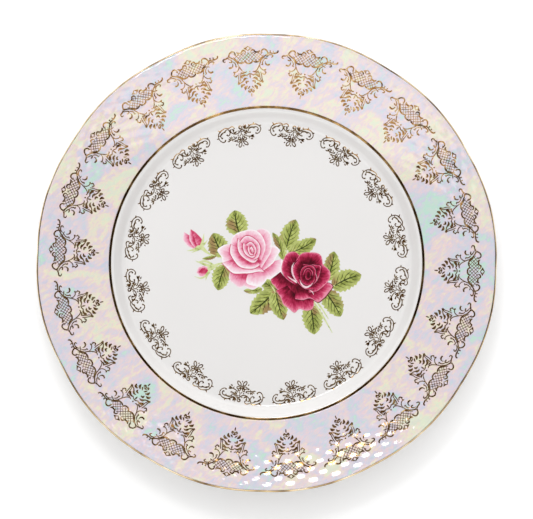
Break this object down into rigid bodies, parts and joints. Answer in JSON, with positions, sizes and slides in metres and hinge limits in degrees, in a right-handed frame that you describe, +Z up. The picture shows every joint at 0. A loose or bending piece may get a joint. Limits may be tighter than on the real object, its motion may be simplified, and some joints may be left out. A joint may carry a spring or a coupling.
{
  "type": "dinner plate",
  "caption": "Round rimmed china dinner plate with a soft-lobed edge, embossed pearl rim, gilt lines, gold transfer ornaments and a spray of roses on a flat well.",
  "frame": {"origin": "centre of the circle that the foot ring stands on, in the plane of the table", "axes": "+Z up, away from the table, along the plate's axis; +Y towards the top of the decoration; +X to the right as the plate is looked down on"},
  "size_m": [0.265, 0.265, 0.0235],
  "materials": {
    "porcelain": "matt unglazed",
    "glaze": "clear gloss over white",
    "pearl_lustre": "iridescent gloss",
    "gilding": "bright gold",
    "pink_print": "gloss",
    "crimson_print": "gloss",
    "green_print": "gloss"
  },
  "bodies": {
    "root": {"porcelain_body": "porcelain", "face_glaze": "glaze", "back_glaze": "glaze", "base_glaze": "glaze", "pearl_lustre": "pearl_lustre", "gold_edge_line": "gilding", "gold_verge_line": "gilding", "rim_ornament_01": "gilding", "rim_ornament_02": "gilding", "rim_ornament_03": "gilding", "rim_ornament_04": "gilding", "rim_ornament_05": "gilding", "rim_ornament_06": "gilding", "rim_ornament_07": "gilding", "rim_ornament_08": "gilding", "rim_ornament_09": "gilding", "rim_ornament_10": "gilding", "rim_ornament_11": "gilding", "rim_ornament_12": "gilding", "rim_ornament_13": "gilding", "rim_ornament_14": "gilding", "rim_ornament_15": "gilding", "rim_ornament_16": "gilding", "rim_ornament_17": "gilding", "rim_ornament_18": "gilding", "rim_ornament_19": "gilding", "rim_ornament_20": "gilding", "rim_ornament_21": "gilding", "rim_ornament_22": "gilding", "well_ornament_01": "gilding", "well_ornament_02": "gilding", "well_ornament_03": "gilding", "well_ornament_04": "gilding", "well_ornament_05": "gilding", "well_ornament_06": "gilding", "well_ornament_07": "gilding", "well_ornament_08": "gilding", "well_ornament_09": "gilding", "well_ornament_10": "gilding", "well_ornament_11": "gilding", "well_ornament_12": "gilding", "well_ornament_13": "gilding", "well_ornament_14": "gilding", "well_ornament_15": "gilding", "well_ornament_16": "gilding", "pink_rose": "pink_print", "crimson_rose": "crimson_print", "large_rosebud": "pink_print", "small_rosebud": "pink_print", "rose_stems": "green_print", "small_leaves": "green_print", "rose_leaf_1": "green_print", "rose_leaf_2": "green_print", "rose_leaf_3": "green_print", "rose_leaf_4": "green_print", "rose_leaf_5": "green_print", "rose_leaf_6": "green_print", "rose_leaf_7": "green_print", "rose_leaf_8": "green_print"}
  },
  "joints": []
}
